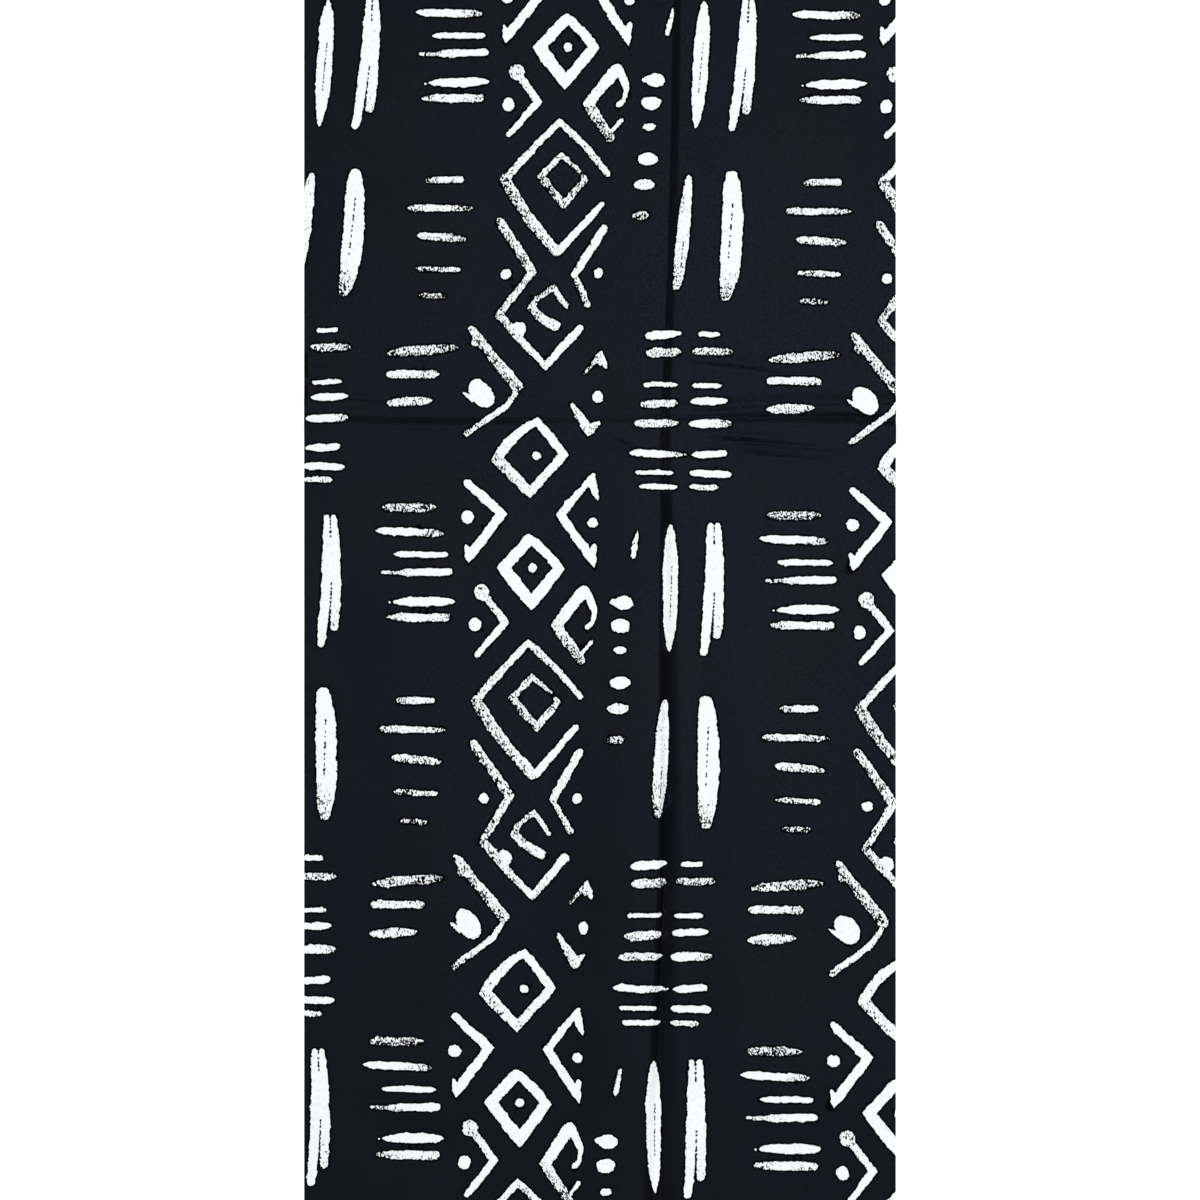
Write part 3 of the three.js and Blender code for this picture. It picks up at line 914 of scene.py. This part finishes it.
def make_cloth():
    flat, triangles, depth, dry = cloth_triangles()
    count = len(flat)
    x, y = flat[:, 0], flat[:, 1]
    low = cloth_height(x, y)
    normal = cloth_normal(x, y)
    upper = np.stack([x, y, low + CLOTH_THICKNESS], axis=1)
    under = np.stack([x, y, low], axis=1)

    rim = rim_edges(triangles)
    way = flat[rim[:, 1]] - flat[rim[:, 0]]
    outward = np.stack([way[:, 1], -way[:, 0]], axis=1) / np.linalg.norm(way, axis=1)[:, None]
    rim_faces = np.stack([rim[:, 1], rim[:, 0], rim[:, 0] + count, rim[:, 1] + count], axis=1)
    under_triangles = triangles[:, ::-1]

    mesh = bpy.data.meshes.new("cloth_sheet")
    faces = triangles.tolist() + (under_triangles + count).tolist() + rim_faces.tolist()
    mesh.from_pydata((np.concatenate([upper, under]) * MM).tolist(), [], faces)
    mesh.polygons.foreach_set("use_smooth", np.ones(len(faces), bool))

    uv = np.concatenate([
        face_uv(x[triangles], y[triangles], False).reshape(-1, 2),
        face_uv(x[under_triangles], y[under_triangles], True).reshape(-1, 2),
        rim_uv(flat[rim[:, 0]], flat[rim[:, 1]], outward).reshape(-1, 2),
    ])
    mesh.uv_layers.new(name="OFBake").data.foreach_set("uv", uv.ravel())
    for name, values in (("wax", depth), ("dry", dry)):
        mesh.attributes.new(name, "FLOAT", "POINT").data.foreach_set("value", np.tile(values, 2))

    rim_normal = np.repeat(np.column_stack([outward, np.zeros(len(outward))]), 4, axis=0)
    loops = [normal[triangles].reshape(-1, 3), -normal[under_triangles].reshape(-1, 3), rim_normal]
    mesh.normals_split_custom_set(np.concatenate(loops).tolist())
    cloth = bpy.data.objects.new("cloth_sheet", mesh)
    bpy.context.collection.objects.link(cloth)
    return cloth


# Materials

# Places of the colour sockets on a mix node
MIX_FIRST = 6
MIX_SECOND = 7
MIX_RESULT = 2


class Nodes:
    """Short calls for the nodes of one material and for the sockets of its surface."""

    def __init__(self, name):
        self.material = bpy.data.materials.new(name)
        self.material.use_nodes = True
        self.tree = self.material.node_tree
        self.shader = self.tree.nodes["Principled BSDF"]

    def put(self, socket, value):
        if isinstance(value, bpy.types.NodeSocket):
            self.tree.links.new(value, socket)
        else:
            socket.default_value = value

    def surface(self, name, value):
        self.put(self.shader.inputs[name], value)

    def add(self, kind, output, settings=None, **inputs):
        node = self.tree.nodes.new(kind)
        for name, value in (settings or {}).items():
            setattr(node, name, value)
        for name, value in inputs.items():
            self.put(node.inputs[name.replace("_", " ")], value)
        return node.outputs[output]

    def math(self, operation, first, second):
        node = self.tree.nodes.new("ShaderNodeMath")
        node.operation = operation
        self.put(node.inputs[0], first)
        self.put(node.inputs[1], second)
        return node.outputs[0]

    def ramp(self, value, low, high, to_low=0.0, to_high=1.0):
        """A smooth step of a value, from one level to another."""
        settings = {"interpolation_type": "SMOOTHSTEP"}
        return self.add("ShaderNodeMapRange", "Result", settings, Value=value, From_Min=low,
                        From_Max=high, To_Min=to_low, To_Max=to_high)

    def mix(self, part, first, second):
        """One colour at part 0 and another at part 1."""
        node = self.tree.nodes.new("ShaderNodeMix")
        node.data_type = "RGBA"
        self.put(node.inputs[0], part)
        self.put(node.inputs[MIX_FIRST], first)
        self.put(node.inputs[MIX_SECOND], second)
        return node.outputs[MIX_RESULT]

    def noise(self, place, scale, detail=2.0, roughness=0.5):
        return self.add("ShaderNodeTexNoise", "Fac", Vector=place, Scale=scale, Detail=detail,
                        Roughness=roughness)


# Colours in linear light: the ground in deep and pale clouds and in the line round a mark, white
# cotton without and with a trace of dye, and the two hues of the ground's sheen
GROUND_DEEP = (0.0015, 0.0016, 0.0024, 1)
GROUND_PALE = (0.0022, 0.0023, 0.0034, 1)
GROUND_LINE = (0.0002, 0.0002, 0.0002, 1)
COTTON_WHITE = (0.775, 0.79, 0.805, 1)
STAINED_WHITE = (0.67, 0.69, 0.77, 1)
BLUE_SHEEN = (0.53, 0.62, 1.0, 1)
VIOLET_SHEEN = (0.58, 0.58, 0.9, 1)
SHEEN_LEVEL = 0.089
FLOOR_GREY = (0.96, 0.96, 0.96, 1)
FLOOR_WHITE = (0.98, 0.98, 0.98, 1)

# How far noise nibbles at the edge of the paint and bites into it, in full paint and more where dry
LEAST_DRY = 0.02
NIBBLE = 1.35
DRY_NIBBLE = 2.0
BITE = 1.15
DRY_BITE = 3.4

# The weave, with threads about 0.36 mm apart, and its relief in millimetres
WEAVE_SCALE = 0.87
WEAVE_RELIEF = 0.04
WEAVE_STRENGTH = 0.45
SLUB_SHARE = 0.6

# How far the line round a mark darkens the ground and dulls its sheen
LINE_SHARE = 0.95
LINE_ROUGHNESS = 0.5


def printed_cotton():
    """Plain-weave cotton, dyed blue-black round marks that were kept white."""
    nodes = Nodes("printed_cotton")
    metres = nodes.add("ShaderNodeTexCoord", "Object")
    to_mm = {"operation": "SCALE"}
    place = nodes.add("ShaderNodeVectorMath", "Vector", to_mm, Vector=metres, Scale=1 / MM)
    wax = nodes.add("ShaderNodeAttribute", "Fac", {"attribute_name": "wax"})
    dry = nodes.add("ShaderNodeAttribute", "Fac", {"attribute_name": "dry"})

    # Paint: full in the middle of a mark, nibbled at its edge, broken into specks where it was dry
    tooth = nodes.add("ShaderNodeMapping", "Vector", Vector=place, Scale=(1, 0.6, 1))
    speck = nodes.noise(tooth, scale=1.05, detail=1.0, roughness=0.5)
    nibble = nodes.noise(tooth, scale=0.9, detail=2.0, roughness=0.6)
    patch = nodes.noise(place, scale=0.22, detail=1.0)
    patch = nodes.ramp(patch, low=0.35, high=0.65, to_low=1.2, to_high=0.8)
    drier = nodes.math("ADD", dry, LEAST_DRY)
    ragged = nodes.math("ADD", nodes.math("MULTIPLY", drier, DRY_NIBBLE), NIBBLE)
    nibbled = nodes.math("MULTIPLY", nodes.math("SUBTRACT", nibble, 0.5), ragged)
    inside = nodes.math("ADD", wax, nibbled)
    solid = nodes.add("ShaderNodeMapRange", "Result", Value=inside, From_Min=0.4, From_Max=0.75)
    bite = nodes.math("ADD", nodes.math("MULTIPLY", drier, DRY_BITE), BITE)
    grain = nodes.math("MULTIPLY", nodes.math("SUBTRACT", speck, 0.5), bite)
    beside = nodes.ramp(wax, low=0.6, high=1.7, to_low=0.8, to_high=1.05)
    loss = nodes.math("MULTIPLY", nodes.math("MULTIPLY", drier, patch), beside)
    level = nodes.math("SUBTRACT", nodes.math("ADD", solid, grain), loss)
    within = nodes.ramp(wax, low=0.0, high=0.06)
    paint = nodes.math("MULTIPLY", nodes.ramp(level, low=0.31, high=0.53), within)

    # Ground: blue-black dye, cloudy, with uneven threads and a deeper line round each mark
    cloud = nodes.ramp(nodes.noise(place, scale=0.012, detail=3.0), low=0.3, high=0.7)
    thread = nodes.noise(place, scale=1.4, detail=2.0, roughness=0.7)
    line = nodes.ramp(wax, low=-1.2, high=-0.1)
    ground = nodes.mix(cloud, GROUND_DEEP, GROUND_PALE)
    ground = nodes.mix(nodes.math("MULTIPLY", line, LINE_SHARE), ground, GROUND_LINE)

    # White: bare cotton, faintly clouded where a trace of dye came through
    stain = nodes.ramp(nodes.noise(place, scale=0.3, detail=3.0, roughness=0.65), low=0.45, high=0.75)
    white = nodes.mix(stain, COTTON_WHITE, STAINED_WHITE)
    nodes.surface("Base Color", nodes.mix(paint, ground, white))

    # Weave: threads over and under each other, with slubs along them
    warp, weft = [nodes.add("ShaderNodeTexWave", "Fac", {"bands_direction": way}, Vector=place,
                            Scale=WEAVE_SCALE) for way in ("X", "Y")]
    slubs = nodes.math("MULTIPLY", thread, SLUB_SHARE)
    relief = nodes.math("ADD", nodes.math("MULTIPLY", warp, weft), slubs)
    bump = nodes.add("ShaderNodeBump", "Normal", Strength=WEAVE_STRENGTH, Distance=WEAVE_RELIEF * MM,
                     Height=relief)
    nodes.surface("Normal", bump)

    # Sheen: a faint gloss of changing hue, duller in the line round each mark
    gloss = nodes.ramp(thread, low=0.3, high=0.7, to_low=0.38, to_high=0.66)
    duller = nodes.math("MULTIPLY", line, LINE_ROUGHNESS)
    nodes.surface("Roughness", nodes.math("ADD", gloss, duller))
    hue = nodes.ramp(nodes.noise(place, scale=0.01, detail=2.0), low=0.35, high=0.65)
    nodes.surface("Specular Tint", nodes.mix(hue, BLUE_SHEEN, VIOLET_SHEEN))
    nodes.surface("Specular IOR Level", SHEEN_LEVEL)
    return nodes.material


def pale_floor():
    nodes = Nodes("pale_floor")
    metres = nodes.add("ShaderNodeTexCoord", "Object")
    cloud = nodes.noise(metres, scale=3.0, detail=2.0)
    nodes.surface("Base Color", nodes.mix(cloud, FLOOR_GREY, FLOOR_WHITE))
    nodes.surface("Roughness", 0.9)
    nodes.surface("Specular IOR Level", 0.1)
    return nodes.material


# Stage, camera and light, in metres

FLOOR_HALF = 4.0
FLOOR_DROP = 0.0002
LENS = 60
SENSOR = 36
VIEW_SIZE = 0.828
ROOM_WHITE = (1, 1, 1, 1)
ROOM_LIGHT = 0.25
Lamp = namedtuple("Lamp", "name place aim size power")
LAMPS = [
    Lamp("softbox", (0.42, 0.56, 3.4), (0, 0.05, 0), 2.6, 116),
    Lamp("low_softbox", (0.15, -1.35, 3.4), (0, -0.3, 0), 1.5, 27),
]


def make_floor():
    signs = [(-1, -1), (1, -1), (1, 1), (-1, 1)]
    corners = [(x * FLOOR_HALF, y * FLOOR_HALF, -FLOOR_DROP) for x, y in signs]
    mesh = bpy.data.meshes.new("floor")
    mesh.from_pydata(corners, [], [(0, 1, 2, 3)])
    floor = bpy.data.objects.new("floor", mesh)
    bpy.context.collection.objects.link(floor)
    floor.data.materials.append(pale_floor())


def make_camera():
    """Straight down over the cloth, with its length up the picture."""
    camera = bpy.data.cameras.new("camera")
    camera.lens = LENS
    camera.sensor_width = SENSOR
    holder = bpy.data.objects.new("camera", camera)
    holder.location = (0, 0, VIEW_SIZE * LENS / SENSOR)
    bpy.context.collection.objects.link(holder)
    bpy.context.scene.camera = holder


def make_lamp(lamp):
    """A round soft lamp that faces its aim."""
    light = bpy.data.lights.new(lamp.name, "AREA")
    light.shape = "DISK"
    light.size = lamp.size
    light.energy = lamp.power
    holder = bpy.data.objects.new(lamp.name, light)
    holder.location = lamp.place
    way = Vector(lamp.aim) - Vector(lamp.place)
    holder.rotation_euler = way.to_track_quat("-Z", "Y").to_euler()
    bpy.context.collection.objects.link(holder)


def make_light():
    for lamp in LAMPS:
        make_lamp(lamp)
    world = bpy.data.worlds.new("soft_room")
    world.use_nodes = True
    background = world.node_tree.nodes["Background"].inputs
    background["Color"].default_value = ROOM_WHITE
    background["Strength"].default_value = ROOM_LIGHT
    bpy.context.scene.world = world
    bpy.context.scene.view_settings.view_transform = "Standard"


make_camera()
cloth_sheet = make_cloth()
cloth_sheet.data.materials.append(printed_cotton())
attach(cloth_sheet, "root")
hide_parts("cloth")
make_floor()
make_light()
